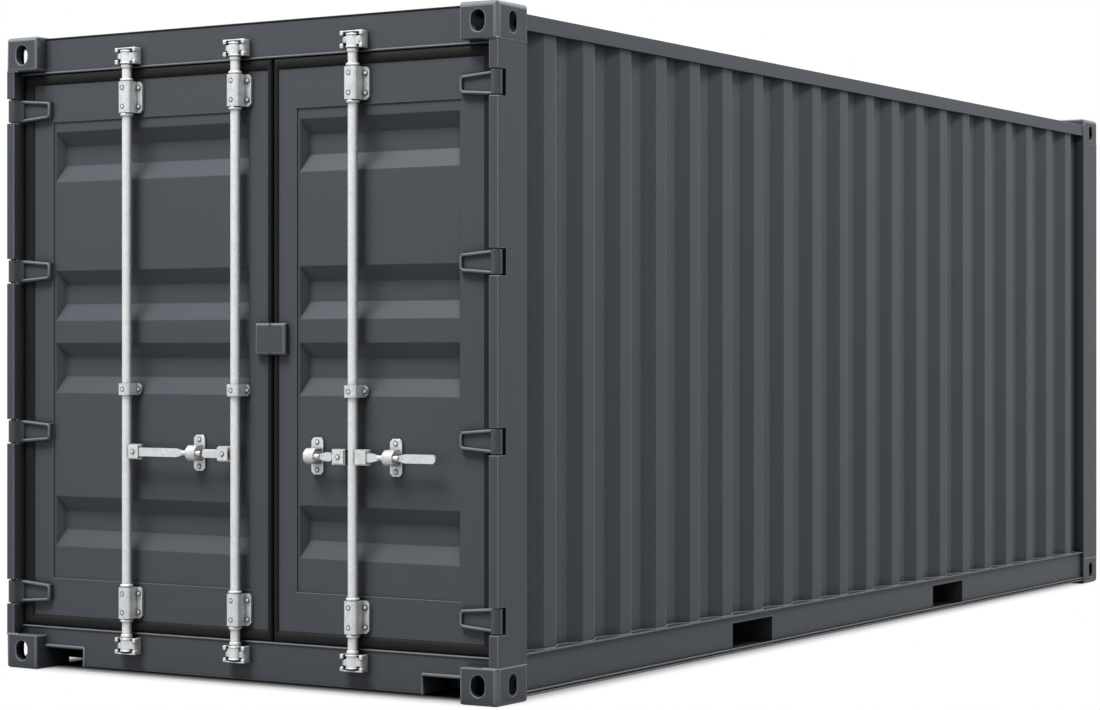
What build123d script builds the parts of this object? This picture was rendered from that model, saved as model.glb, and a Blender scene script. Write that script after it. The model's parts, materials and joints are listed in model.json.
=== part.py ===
from build123d import *
import os

# A twenty-foot steel storage container with two hinged doors, lock bars and swinging handles.
# Millimetres. The origin is on the ground under the middle of the container.
# The doors face -Y, +X is to the right as seen from the doors, and +Z is up.

# Overall size
length = 6058
width = 2438
height = 2591
overrun = 5

# Corner castings
casting_length = 200
casting_width = 170
casting_height = 140
casting_wall = 20
casting_plate = 28
casting_edge = 12
slot_length = 124.5
slot_width = 63.5
slot_from_end = 102.5
slot_from_side = 89.5
side_hole_width = 58
end_hole_width = 68
hole_height = 87
hole_rise = 74
hole_sides = 12

# Corner posts
post_side_inset = 3
post_end_inset = 5
door_post_width = 40
post_wall = 6
door_stop_step = 26

# Top and bottom rails
rail_inset = 8
top_rail_size = 60
top_rail_wall = 3
top_rail_drop = 34
bottom_rail_floor_gap = 20
bottom_rail_height = 160
bottom_rail_flange = 60
bottom_rail_plate = 5
bottom_rail_overhang = 14

# Header and sill of the door end
frame_set_back = 60
header_drop = 8
header_height = 140
header_plate = 4
sill_height = 150
sill_plate = 6
sill_notch_height = 74
sill_notch_width = 207

# Corrugated walls
wall_inset = 22
wall_sheet = 2
wave_pitch = 278
wave_flat = 78
wave_slope = 64
wave_depth = 36

# Roof with pressed ribs
roof_sheet = 2
roof_edge = 10
roof_rib_pitch = 209
roof_rib_base = 120
roof_rib_top = 80
roof_rib_height = 20
roof_rib_end_margin = 60
roof_rib_end_slope = 40

# Floor and the steelwork under it
floor_thickness = 28
cross_member_height = 122
cross_member_flange = 45
cross_member_plate = 4
cross_member_pitch = 300
pocket_width = 360
pocket_plate = 3.5
pocket_spacing = 2050

# Door leaves and gaskets
leaf_set_back = 65
leaf_thickness = 50
leaf_wall = 3
hinge_stile = 100
free_stile = 86
leaf_rail = 153
gasket_width = 56
gasket_height = 45
gasket_gap = 5
gasket_depth = 46
gasket_inset = 2
seam_x = 129.5
seam_gap = 12
centre_gasket = 21.5
panel_sheet = 2
panel_inset = 5

# Pressed recesses of the door panels
recess_height = 205
recess_top_slope = 60
recess_bottom_slope = 68
recess_end_slope = 25
recess_margin = 12
recess_depth = 36
recess_centre_shares = (0.125, 0.461, 0.619, 0.923)

# Hinges
pin_set_back = 25
pin_side_inset = 22
pin_radius = 12
pin_clearance = 0.3
pin_seat = 14
knuckle_across = 40
knuckle_sides = 8
knuckle_height = 90
knuckle_end_gap = 5
notch_depth = 56
blade_length = 180
blade_thickness = 16
blade_tip_height = 66
blade_root_run = 18
blade_root_rise = 6
blade_neck_run = 36
blade_back_run = 22
blade_back_rise = 4
blade_seat_run = 34
blade_rib = 12
blade_web_depth = 5
hinge_bottom_distance = 93
hinge_top_distance = 103
hinge_count = 4

# Lock bars and their cams
bar_radius = 19
bar_set_back = 28
left_outer_bar_x = -586
left_inner_bar_x = -30
right_bar_x = 540
bar_clearance = 0.4
cam_across = 48
cam_sides = 8
cam_prong_reach = 36
cam_prong_width = 22
cam_prong_height = 30
top_keeper_rise = 42
bottom_keeper_drop = 49
keeper_width = 98
keeper_height = 66
keeper_arm = 8
keeper_reach = 44
keeper_plate = 6
keeper_corner = 10
keeper_end_gap = 5

# Bearing brackets and guide clips of the bars
bearing_height = 125
bearing_width = 61
bearing_flange_width = 114
bearing_front = 26
bearing_corner = 12
bearing_plate = 12
bearing_edge_distance = 74
clip_height = 46
clip_width = 61
clip_flange_width = 90
clip_z = 1150

# Handles
handle_z = 901
hub_size = 60
hub_thickness = 16
handle_thickness = 8
handle_height = 34
handle_corner = 10
handle_bolt_radius = 7
handle_bolt_clearance = 0.3
handle_face_gap = 0.3
tongue_radius = 10
tongue_run = 96
tongue_taper = 30
saddle_width = 46
saddle_height = 60
saddle_crown = 24
saddle_shoulder = 14
saddle_plate = 4
saddle_bed = 1
saddle_clear = 7
left_saddle_x = -240
right_saddle_x = 716
right_stay_x = 345
right_grip_x = 932
retainer_width = 56
retainer_height = 143
retainer_plate = 8
retainer_corner = 12

# Lock plate over the seam between the doors
lock_plate_width = 147
lock_plate_height = 123
lock_plate_thickness = 24
lock_plate_edge = 6
lock_plate_gap = 6
lock_plate_z = 1350

# Places worked out from the sizes above
half_width = width / 2
half_length = length / 2
front = -half_length
casting_inner_x = half_width - casting_width
casting_inner_y = half_length - casting_length
top_casting_z = height - casting_height
post_outer_x = half_width - post_side_inset
jamb_x = post_outer_x - door_post_width
stop_x = jamb_x - door_stop_step
post_front = front + post_end_inset
post_back = -casting_inner_y
rail_outer_x = half_width - rail_inset
top_rail_top = height - top_rail_drop
top_rail_bottom = top_rail_top - top_rail_size
bottom_rail_bottom = bottom_rail_floor_gap
bottom_rail_top = bottom_rail_bottom + bottom_rail_height
web_outer_x = rail_outer_x - bottom_rail_overhang
web_inner_x = web_outer_x - bottom_rail_plate
blank_rail_y = half_length - rail_inset
blank_web_inner_y = blank_rail_y - bottom_rail_overhang - bottom_rail_plate
frame_front = front + frame_set_back
header_top = height - header_drop
header_bottom = header_top - header_height
sill_bottom = bottom_rail_floor_gap
sill_top = sill_bottom + sill_height
floor_top = bottom_rail_top - bottom_rail_plate
floor_bottom = floor_top - floor_thickness
member_top = floor_bottom
member_bottom = member_top - cross_member_height
leaf_front = front + leaf_set_back
leaf_back = leaf_front + leaf_thickness
panel_front = leaf_front + panel_inset
leaf_top = header_bottom - gasket_gap - gasket_height
leaf_bottom = sill_top + gasket_gap + gasket_height
leaf_edge_x = jamb_x - gasket_gap - gasket_width
left_free_x = seam_x - seam_gap / 2 - centre_gasket
right_free_x = seam_x + seam_gap / 2 + centre_gasket
stop_y = leaf_back + gasket_gap
pin_x = half_width - pin_side_inset
pin_y = front + pin_set_back
bar_y = front + bar_set_back
hinge_first_z = leaf_bottom + hinge_bottom_distance
hinge_pitch = (leaf_top - hinge_top_distance - hinge_first_z) / (hinge_count - 1)
hinge_heights = [hinge_first_z + i * hinge_pitch for i in range(hinge_count)]
top_cam_z = header_bottom + top_keeper_rise
bottom_cam_z = sill_top - bottom_keeper_drop
top_bearing_z = leaf_top - bearing_edge_distance
bottom_bearing_z = leaf_bottom + bearing_edge_distance
handle_back = bar_y - hub_thickness / 2 - handle_face_gap
handle_face = handle_back - handle_thickness
retainer_face = panel_front - retainer_plate
tongue_y = (handle_face + handle_back) / 2
cam_height = keeper_height - keeper_plate - keeper_end_gap
cam_end = cam_height - keeper_height / 2


def block(x0, x1, y0, y1, z0, z1):
    """A box between two opposite corners."""
    centre = ((x0 + x1) / 2, (y0 + y1) / 2, (z0 + z1) / 2)
    return Pos(*centre) * Box(abs(x1 - x0), abs(y1 - y0), abs(z1 - z0))


def prism_x(points, x0, x1):
    """An outline of (y, z) points run along X."""
    outline = make_face(Polyline(*[(x0, y, z) for y, z in points], close=True))
    return extrude(outline, amount=x1 - x0, dir=(1, 0, 0))


def prism_y(points, y0, y1):
    """An outline of (x, z) points run along Y."""
    outline = make_face(Polyline(*[(x, y0, z) for x, z in points], close=True))
    return extrude(outline, amount=y1 - y0, dir=(0, 1, 0))


def prism_z(points, z0, z1):
    """An outline of (x, y) points run along Z."""
    outline = make_face(Polyline(*[(x, y, z0) for x, y in points], close=True))
    return extrude(outline, amount=z1 - z0, dir=(0, 0, 1))


def rod_z(x, y, z0, z1, radius):
    """An upright round bar."""
    return Pos(x, y, (z0 + z1) / 2) * Cylinder(radius, z1 - z0)


def sided_z(x, y, z0, z1, across, sides):
    """An upright bar with flats, one of them to the front."""
    outline = RegularPolygon(across / 2, sides, major_radius=False, rotation=180 / sides)
    return extrude(Pos(x, y, z0) * outline, z1 - z0)


def rod_y(x, y0, y1, z, radius):
    """A round bar that runs from front to back."""
    return Pos(x, (y0 + y1) / 2, z) * Rot(90, 0, 0) * Cylinder(radius, y1 - y0)


def frustum_y(base, top, y_base, y_top):
    """A four-sided pressing between two upright rectangles, each (x0, x1, z0, z1)."""
    x0, x1, z0, z1 = base
    u0, u1, w0, w1 = top
    plan = prism_z([(x0, y_base), (x1, y_base), (u1, y_top), (u0, y_top)], z0, z1)
    return plan & prism_x([(y_base, z0), (y_base, z1), (y_top, w1), (y_top, w0)], x0, x1)


def frustum_z(base, top, z_base, z_top):
    """A four-sided pressing between two level rectangles, each (x0, x1, y0, y1)."""
    x0, x1, y0, y1 = base
    u0, u1, v0, v1 = top
    face = prism_y([(x0, z_base), (x1, z_base), (u1, z_top), (u0, z_top)], y0, y1)
    return face & prism_x([(y0, z_base), (y1, z_base), (v1, z_top), (v0, z_top)], x0, x1)


def plate_y(x0, x1, y0, y1, z0, z1, corner):
    """An upright plate that faces the doors' way, with its four corners cut."""
    outline = [
        (x0 + corner, z0), (x1 - corner, z0), (x1, z0 + corner), (x1, z1 - corner),
        (x1 - corner, z1), (x0 + corner, z1), (x0, z1 - corner), (x0, z0 + corner),
    ]
    return prism_y(outline, y0, y1)


def rod_x(x0, x1, y, z, radius):
    """A round bar that runs across the doors."""
    return Pos((x0 + x1) / 2, y, z) * Rot(0, 90, 0) * Cylinder(radius, abs(x1 - x0))


def mirrored(line):
    """A line of (place, rise) points and its mirror image below, as one outline."""
    return line + [(place, -rise) for place, rise in reversed(line)]


def both_sides(piece):
    """A right-hand piece and its mirror image on the left."""
    return piece, mirror(piece, about=Plane.YZ)


# Frame

def corner_casting():
    """The hollow bottom casting at the +X, +Y corner, with its three apertures."""
    x0, x1 = casting_inner_x, half_width
    y0, y1 = casting_inner_y, half_length
    body = block(x0, x1, y0, y1, 0, casting_height)
    body = chamfer(body.edges().sort_by_distance((x1, y1, 0))[:3], casting_edge)
    cavity = block(
        x0 + casting_wall, x1 - casting_wall, y0 + casting_wall, y1 - casting_wall,
        casting_plate, casting_height - casting_wall,
    )
    slot_x, slot_y = half_width - slot_from_side, half_length - slot_from_end
    base = Plane(origin=(slot_x, slot_y, 0), x_dir=(0, 1, 0), z_dir=(0, 0, 1))
    end = Plane(origin=(slot_x, y1, hole_rise), x_dir=(0, 0, 1), z_dir=(0, -1, 0))
    side = Plane(origin=(x1, slot_y, hole_rise), x_dir=(0, 0, 1), z_dir=(-1, 0, 0))
    slot = extrude(base * SlotOverall(slot_length, slot_width), casting_plate + overrun)
    return body - [cavity, slot, wall_hole(end, end_hole_width), wall_hole(side, side_hole_width)]


def wall_hole(plane, across):
    """A tall hole through a casting's wall, its round ends made of a few flats."""
    reach = (hole_height - across) / 2
    ends = [Pos(shift, 0) * RegularPolygon(across / 2, hole_sides) for shift in (-reach, reach)]
    return extrude(plane * (Rectangle(2 * reach, across) + ends), casting_wall + overrun)


def castings(top):
    """Four castings, at the bottom or turned over for the top."""
    first = corner_casting()
    if top:
        first = mirror(first, about=Plane.XY.offset(height / 2))
    back_pair = both_sides(first)
    front_pair = [mirror(piece, about=Plane.XZ) for piece in back_pair]
    return [*back_pair, *front_pair]


def door_post():
    """The right door post: a closed section with a stop step, notched round its hinge pins."""
    z0, z1 = casting_height, top_casting_z
    wall = post_wall
    outer = block(jamb_x, post_outer_x, post_front, post_back, z0, z1)
    outer += block(stop_x, jamb_x, stop_y, post_back, z0, z1)
    hollow = block(jamb_x + wall, post_outer_x - wall, post_front + wall, post_back - wall, z0, z1)
    hollow += block(stop_x + wall, jamb_x + wall, stop_y + wall, post_back - wall, z0, z1)
    post = outer - hollow
    notch_back = post_front + notch_depth
    half_notch = knuckle_height / 2 + knuckle_end_gap
    for z in hinge_heights:
        low, high = z - half_notch, z + half_notch
        lugs = block(jamb_x, post_outer_x, post_front, notch_back + wall, low - pin_seat, high + pin_seat)
        notch = block(jamb_x - overrun, post_outer_x + overrun, post_front - overrun, notch_back, low, high)
        post = post + lugs - notch + rod_z(pin_x, pin_y, low, high, pin_radius)
    return post


def blank_post():
    """The right post of the closed end: a closed section."""
    x0, x1 = casting_inner_x, post_outer_x
    y0, y1 = casting_inner_y, half_length - post_end_inset
    wall = post_wall
    outer = block(x0, x1, y0, y1, casting_height, top_casting_z)
    hollow = block(x0 + wall, x1 - wall, y0 + wall, y1 - wall, casting_height, top_casting_z)
    return outer - hollow


def top_rail():
    """The right top side rail, a square tube between the castings."""
    x0, x1 = rail_outer_x - top_rail_size, rail_outer_x
    y = casting_inner_y
    wall = top_rail_wall
    tube = block(x0, x1, -y, y, top_rail_bottom, top_rail_top)
    return tube - block(x0 + wall, x1 - wall, -y, y, top_rail_bottom + wall, top_rail_top - wall)


def rail_section(outer):
    """The bottom rail's outline: a web between two flanges that reach past it on both sides."""
    inner = outer - bottom_rail_flange
    web = outer - bottom_rail_overhang
    plate = bottom_rail_plate
    low, high = bottom_rail_bottom, bottom_rail_top
    return [
        (outer, low), (outer, low + plate), (web, low + plate), (web, high - plate),
        (outer, high - plate), (outer, high), (inner, high), (inner, high - plate),
        (web - plate, high - plate), (web - plate, low + plate), (inner, low + plate), (inner, low),
    ]


def bottom_rail():
    """The right bottom side rail, cut through for the fork pockets."""
    y = casting_inner_y
    rail = prism_y(rail_section(rail_outer_x), -y, y)
    half_pocket = pocket_width / 2 + pocket_plate
    for sign in (-1, 1):
        middle = sign * pocket_spacing / 2
        rail -= block(
            web_inner_x, web_outer_x, middle - half_pocket, middle + half_pocket, member_bottom, member_top
        )
    return rail


def blank_sill():
    """The bottom rail of the closed end, of the same section as the side rails."""
    return prism_x(rail_section(blank_rail_y), -casting_inner_x, casting_inner_x)


def blank_header():
    """The top rail of the closed end, a square tube between the castings."""
    y0, y1 = blank_rail_y - top_rail_size, blank_rail_y
    wall = top_rail_wall
    x = casting_inner_x
    tube = block(-x, x, y0, y1, top_rail_bottom, top_rail_top)
    return tube - block(-x, x, y0 + wall, y1 - wall, top_rail_bottom + wall, top_rail_top - wall)


def door_header():
    """The box beam over the doors, with ears under the castings that reach the posts."""
    x = casting_inner_x
    plate = header_plate
    beam = block(-x, x, frame_front, post_back, header_bottom, header_top)
    beam -= block(
        -x, x, frame_front + plate, post_back - plate, header_bottom + plate, header_top - plate
    )
    ear = block(x, jamb_x, frame_front, stop_y, header_bottom, top_casting_z)
    ear += block(x, stop_x, stop_y, post_back, header_bottom, top_casting_z)
    return beam + list(both_sides(ear))


def door_sill():
    """The sill under the doors: a channel open below, notched beside the castings."""
    x = casting_inner_x
    plate = sill_plate
    notch_x = x - sill_notch_width
    notch_top = sill_bottom + sill_notch_height
    half = [
        (notch_x, sill_bottom), (notch_x, notch_top), (x, notch_top), (x, casting_height),
        (jamb_x, casting_height), (jamb_x, sill_top),
    ]
    outline = half + [(-px, z) for px, z in reversed(half)]
    sill = prism_y(outline, frame_front, stop_y)
    half_back = half[:4] + [(stop_x, casting_height), (stop_x, sill_top)]
    sill += prism_y(half_back + [(-px, z) for px, z in reversed(half_back)], stop_y, post_back)
    y0, y1 = frame_front + plate, post_back - plate
    hollow = block(plate - notch_x, notch_x - plate, y0, y1, sill_bottom, sill_top - plate)
    side_hollow = block(notch_x, x - plate, y0, y1, notch_top, sill_top - plate)
    return sill - [hollow, *both_sides(side_hollow)]


# Walls, roof and floor

def wave_line(low, high):
    """A corrugated line from low to high: (place, height) points, recessed at both ends."""
    count = int((high - low) // wave_pitch)
    points = [(low, 0)]
    for i in range(count):
        centre = (low + high) / 2 + (i - (count - 1) / 2) * wave_pitch
        points.append((centre - wave_flat / 2 - wave_slope, 0))
        points.append((centre - wave_flat / 2, wave_depth))
        points.append((centre + wave_flat / 2, wave_depth))
        points.append((centre + wave_flat / 2 + wave_slope, 0))
    points.append((high, 0))
    return points


def side_wall():
    """The right corrugated side wall, on the bottom rail and under the top rail."""
    recess_x = half_width - wall_inset - wave_depth
    line = wave_line(-casting_inner_y, casting_inner_y)
    outside = [(recess_x + rise, y) for y, rise in line]
    inside = [(x - wall_sheet, y) for x, y in reversed(outside)]
    return prism_z(outside + inside, bottom_rail_top, top_rail_bottom)


def end_wall():
    """The corrugated wall of the closed end."""
    recess_y = half_length - wall_inset - wave_depth
    line = wave_line(-casting_inner_x, casting_inner_x)
    outside = [(x, recess_y + rise) for x, rise in line]
    inside = [(x, y - wall_sheet) for x, y in reversed(outside)]
    return prism_z(outside + inside, bottom_rail_top, top_rail_bottom)


def roof_panel():
    """The roof sheet with its pressed cross ribs."""
    half_x = rail_outer_x - roof_edge
    y0, y1 = -casting_inner_y, casting_inner_y
    low, high = top_rail_top, top_rail_top + roof_sheet
    sheet = block(-half_x, half_x, y0, y1, low, high)
    sheet += block(-casting_inner_x, casting_inner_x, y1, blank_rail_y - roof_edge, low, high)
    count = int((y1 - y0 - roof_rib_base) // roof_rib_pitch) + 1
    base_x = half_x - roof_rib_end_margin
    top_x = base_x - roof_rib_end_slope
    ribs, hollows = [], []
    for i in range(count):
        y = (i - (count - 1) / 2) * roof_rib_pitch
        base = (-base_x, base_x, y - roof_rib_base / 2, y + roof_rib_base / 2)
        top = (-top_x, top_x, y - roof_rib_top / 2, y + roof_rib_top / 2)
        ribs.append(frustum_z(base, top, high, high + roof_rib_height))
        hollows.append(frustum_z(
            (-base_x + roof_sheet, base_x - roof_sheet, base[2] + roof_sheet, base[3] - roof_sheet),
            (-top_x + roof_sheet, top_x - roof_sheet, top[2] + roof_sheet, top[3] - roof_sheet),
            low, low + roof_rib_height,
        ))
    return sheet + ribs - hollows


def floor_deck():
    """The plywood floor between the rails, from the sill to the closed end."""
    y = casting_inner_y
    deck = block(-web_inner_x, web_inner_x, -y, y, floor_bottom, floor_top)
    return deck + block(-casting_inner_x, casting_inner_x, y, blank_web_inner_y, floor_bottom, floor_top)


def cross_members():
    """Channels under the floor, one beside each fork pocket and the rest evenly between."""
    inner_edge = pocket_spacing / 2 - pocket_width / 2 - pocket_plate
    outer_edge = pocket_spacing / 2 + pocket_width / 2 + pocket_plate
    end = casting_inner_y - cross_member_flange
    stretches = [(-end, -outer_edge), (-inner_edge, inner_edge), (outer_edge, end)]
    members = []
    for low, high in stretches:
        run = high - low - cross_member_flange
        bays = max(1, round(run / cross_member_pitch))
        for i in range(bays + 1):
            members.append(cross_member(low + i * run / bays))
    return members


def cross_member(y0):
    """One channel with its web on the -Y side."""
    y1 = y0 + cross_member_flange
    plate = cross_member_plate
    low, high = member_bottom, member_top
    section = [
        (y0, low), (y1, low), (y1, low + plate), (y0 + plate, low + plate),
        (y0 + plate, high - plate), (y1, high - plate), (y1, high), (y0, high),
    ]
    return prism_x(section, -web_inner_x, web_inner_x)


def fork_pockets():
    """Two open tunnels across the floor for the forks of a lift truck."""
    tunnels = []
    for sign in (-1, 1):
        middle = sign * pocket_spacing / 2
        y0, y1 = middle - pocket_width / 2, middle + pocket_width / 2
        plate = pocket_plate
        tube = block(-web_outer_x, web_outer_x, y0 - plate, y1 + plate, member_bottom, member_top)
        tube -= block(-web_outer_x, web_outer_x, y0, y1, member_bottom + plate, member_top - plate)
        tunnels.append(tube)
    return tunnels


# Doors

def leaf_frame(x0, x1, stile0, stile1):
    """A door frame: two square-tube stiles and two channels open to the back."""
    y0, y1 = leaf_front, leaf_back
    z0, z1 = leaf_bottom, leaf_top
    wall = leaf_wall
    frame = None
    for low, high in ((x0, x0 + stile0), (x1 - stile1, x1)):
        stile = block(low, high, y0, y1, z0, z1)
        stile -= block(low + wall, high - wall, y0 + wall, y1 - wall, z0, z1)
        frame = stile if frame is None else frame + stile
    for low, high in ((z0, z0 + leaf_rail), (z1 - leaf_rail, z1)):
        rail = block(x0 + stile0, x1 - stile1, y0, y1, low, high)
        rail -= block(x0 + stile0, x1 - stile1, y0 + wall, y1, low + wall, high - wall)
        frame += rail
    return frame


def leaf_panel(x0, x1):
    """A door panel between the stiles, with four pressed recesses across it."""
    z0, z1 = leaf_bottom + leaf_rail, leaf_top - leaf_rail
    y0 = panel_front
    sheet = panel_sheet
    panel = block(x0, x1, y0, y0 + sheet, z0, z1)
    backs, recesses = [], []
    for share in recess_centre_shares:
        low = z0 + share * (z1 - z0) - recess_height / 2
        high = low + recess_height
        mouth = (x0 + recess_margin, x1 - recess_margin, low, high)
        floor = (
            mouth[0] + recess_end_slope, mouth[1] - recess_end_slope,
            low + recess_bottom_slope, high - recess_top_slope,
        )
        back_y = y0 + sheet
        backs.append(frustum_y(grown(mouth, sheet), grown(floor, sheet), back_y, back_y + recess_depth))
        recesses.append(frustum_y(mouth, floor, y0, y0 + recess_depth))
    return panel + backs - recesses


def grown(rectangle, margin):
    """A rectangle (x0, x1, z0, z1) enlarged on every side."""
    x0, x1, z0, z1 = rectangle
    return x0 - margin, x1 + margin, z0 - margin, z1 + margin


def leaf_gasket(x0, x1, side0, side1):
    """The rubber seal round a door leaf."""
    y0 = leaf_front + gasket_inset
    y1 = y0 + gasket_depth
    z0, z1 = leaf_bottom, leaf_top
    ring = block(x0 - side0, x1 + side1, y0, y1, z0 - gasket_height, z1 + gasket_height)
    return ring - block(x0, x1, y0, y1, z0, z1)


def door_hinges():
    """The four hinge blades of the right door, ribbed along both edges, each with its knuckle."""
    blade_front = leaf_front - blade_thickness
    back_y = pin_y + knuckle_across / 2
    neck_x = pin_x - blade_neck_run
    tip_x = pin_x - blade_length
    plan = [
        (pin_x, pin_y), (pin_x - blade_root_run, pin_y + blade_root_rise), (neck_x, blade_front),
        (tip_x, blade_front), (tip_x, leaf_front), (pin_x - blade_seat_run, leaf_front),
        (pin_x - blade_back_run, back_y + blade_back_rise), (pin_x, back_y),
    ]
    hinges = []
    for z in hinge_heights:
        low, high = z - knuckle_height / 2, z + knuckle_height / 2
        side = [
            (pin_x, low), (pin_x, high), (neck_x, high),
            (tip_x, z + blade_tip_height / 2), (tip_x, z - blade_tip_height / 2), (neck_x, low),
        ]
        blade = prism_z(plan, low, high) & prism_y(side, pin_y - knuckle_across / 2, leaf_front)
        web = [
            (neck_x, high - blade_rib), (tip_x, z + blade_tip_height / 2 - blade_rib),
            (tip_x, z - blade_tip_height / 2 + blade_rib), (neck_x, low + blade_rib),
        ]
        blade -= prism_y(web, blade_front, blade_front + blade_web_depth)
        knuckle = sided_z(pin_x, pin_y, low, high, knuckle_across, knuckle_sides)
        hinges.append(blade + knuckle - rod_z(pin_x, pin_y, low, high, pin_radius + pin_clearance))
    return hinges


def bar_guides(bar_xs):
    """Bearing brackets near both ends of each bar, and a clip at mid height."""
    guides = []
    for x in bar_xs:
        for z in (bottom_bearing_z, top_bearing_z):
            guides.append(bracket(x, z, leaf_front, bearing_flange_width, bearing_width, bearing_height))
        guides.append(bracket(x, clip_z, panel_front, clip_flange_width, clip_width, clip_height))
    return guides


def bracket(x, z, seat, flange_width, cover_width, height):
    """A flanged channel over a bar, seated on a door's face."""
    z0, z1 = z - height / 2, z + height / 2
    half_flange, half_cover = flange_width / 2, cover_width / 2
    flange = plate_y(x - half_flange, x + half_flange, seat - bearing_plate, seat, z0, z1, bearing_corner)
    cover = block(x - half_cover, x + half_cover, bar_y - bearing_front, seat, z0, z1)
    cover = chamfer(cover.edges().filter_by(Axis.Z).group_by(Axis.Y)[0], bearing_corner)
    half_bar = bar_radius + bar_clearance
    return flange + cover - block(x - half_bar, x + half_bar, bar_y - half_bar, bar_y + half_bar, z0, z1)


def lock_bar(x, hub_side):
    """A lock bar with a cam at each end and the hub of its handle."""
    bar = rod_z(x, bar_y, bottom_cam_z - cam_end, top_cam_z + cam_end, bar_radius)
    pieces = []
    for z, end in ((bottom_cam_z, -1), (top_cam_z, 1)):
        pieces.append(cam(x, z - end * (keeper_height / 2 - cam_height / 2), hub_side))
    hub_end = x + hub_side * (bar_radius + hub_size)
    pieces.append(block(
        x, hub_end, bar_y - hub_thickness / 2, bar_y + hub_thickness / 2,
        handle_z - hub_size / 2, handle_z + hub_size / 2,
    ))
    bolt_x = x + hub_side * (bar_radius + hub_size / 2)
    hole = rod_y(
        bolt_x, bar_y - hub_thickness, bar_y + hub_thickness, handle_z,
        handle_bolt_radius + handle_bolt_clearance,
    )
    return bar + pieces - hole


def cam(x, z, hub_side):
    """An eight-sided cam with one rounded prong, which turns out of the keeper with the handle."""
    body = sided_z(x, bar_y, z - cam_height / 2, z + cam_height / 2, cam_across, cam_sides)
    half = cam_prong_width / 2
    z0, z1 = z - cam_prong_height / 2, z + cam_prong_height / 2
    nose_x = x + hub_side * (cam_prong_reach - half)
    prong = block(x, nose_x, bar_y - half, bar_y + half, z0, z1) + rod_z(nose_x, bar_y, z0, z1, half)
    return body + prong


def lock_handle(x, hub_side, tip_x, saddle_x=None):
    """A flat handle on the hub's bolt. Where it has a saddle, it runs round under it."""
    bolt_x = x + hub_side * (bar_radius + hub_size / 2)
    end_x = bolt_x - hub_side * handle_height / 2
    bolt = rod_y(bolt_x, handle_back, bar_y + hub_thickness / 2, handle_z, handle_bolt_radius)
    if saddle_x is None:
        return bolt + handle_flat(end_x, tip_x - hub_side * handle_corner, tip_x)
    start, end = saddle_x - tongue_run / 2, saddle_x + tongue_run / 2
    handle = bolt + handle_flat(end_x, start - tongue_taper, start)
    handle += rod_x(start, end, tongue_y, handle_z, tongue_radius)
    handle += strap(saddle_x, retainer_face - saddle_clear)
    if tip_x > end:
        handle += handle_flat(tip_x, end + tongue_taper, end)
    return handle


def handle_flat(end_x, turn_x, narrow_x):
    """A flat stretch of a handle with cut corners, which narrows to the round tongue's width."""
    half = handle_height / 2
    corner_x = end_x + handle_corner if turn_x > end_x else end_x - handle_corner
    upper = [(end_x, half - handle_corner), (corner_x, half), (turn_x, half), (narrow_x, tongue_radius)]
    outline = [(place, handle_z + rise) for place, rise in mirrored(upper)]
    return prism_y(outline, handle_face, handle_back)


def strap(x, foot_y):
    """A bent strap over a handle's round tongue, with its feet turned to the door."""
    crown_y = tongue_y - tongue_radius + saddle_bed
    shoulder_y = crown_y + saddle_shoulder
    high, low = saddle_height / 2, saddle_crown / 2
    plate = saddle_plate
    outer = [(foot_y, high), (shoulder_y, high), (crown_y - plate, low)]
    inner = [(foot_y, high - plate), (shoulder_y + plate, high - plate), (crown_y, low)]
    section = mirrored(outer) + list(reversed(mirrored(inner)))
    x0, x1 = x - saddle_width / 2, x + saddle_width / 2
    return prism_x([(place, handle_z + rise) for place, rise in section], x0, x1)


def retainer(x):
    """The plate on the door behind a handle's saddle."""
    return plate_y(
        x - retainer_width / 2, x + retainer_width / 2, retainer_face, panel_front,
        handle_z - retainer_height / 2, handle_z + retainer_height / 2, retainer_corner,
    )


def bar_stay():
    """The fixed stay beside the right bar: a strapped plate, an arm and an end plate short of the bar."""
    end_x = right_bar_x - bar_radius - saddle_clear
    hub_x = end_x - hub_size
    tongue_end = right_stay_x + tongue_run / 2
    stay = retainer(right_stay_x) + strap(right_stay_x, retainer_face)
    stay += rod_x(right_stay_x - saddle_width / 2, tongue_end, tongue_y, handle_z, tongue_radius)
    stay += handle_flat(hub_x, tongue_end + tongue_taper, tongue_end)
    return stay + block(
        hub_x, end_x, handle_face, bar_y + hub_thickness / 2,
        handle_z - hub_size / 2, handle_z + hub_size / 2,
    )


def keepers(z, end):
    """Cam keepers on the frame, one for each bar: two arms and an end plate, open to the front."""
    half, inner = keeper_width / 2, keeper_width / 2 - keeper_arm
    tip = frame_front - keeper_reach
    z_open, z_shut = z - end * keeper_height / 2, z + end * keeper_height / 2
    forks = []
    for x in (left_outer_bar_x, left_inner_bar_x, right_bar_x):
        plan = [
            (x - half, frame_front), (x - half, tip + keeper_corner), (x - half + keeper_corner, tip),
            (x + half - keeper_corner, tip), (x + half, tip + keeper_corner), (x + half, frame_front),
        ]
        space = block(x - inner, x + inner, tip, frame_front, z_open, z_shut - end * keeper_plate)
        forks.append(prism_z(plan, min(z_open, z_shut), max(z_open, z_shut)) - space)
    return forks


def lock_plate(x0, x1, seam_last):
    """One half of the plate that covers the seam between the doors, bevelled on its outer edges."""
    z0, z1 = lock_plate_z - lock_plate_height / 2, lock_plate_z + lock_plate_height / 2
    plate = block(x0, x1, leaf_front - lock_plate_thickness, leaf_front, z0, z1)
    edges = plate.faces().sort_by(Axis.Y)[0].edges().sort_by(Axis.X)
    return chamfer(edges[:-1] if seam_last else edges[1:], lock_plate_edge)


def write(name, *pieces):
    """Write one piece, or several that share a name, as a STEP file."""
    shape = pieces[0] if len(pieces) == 1 else Compound([s for piece in pieces for s in piece.solids()])
    export_step(shape, os.path.join("parts", name + ".step"))


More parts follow.
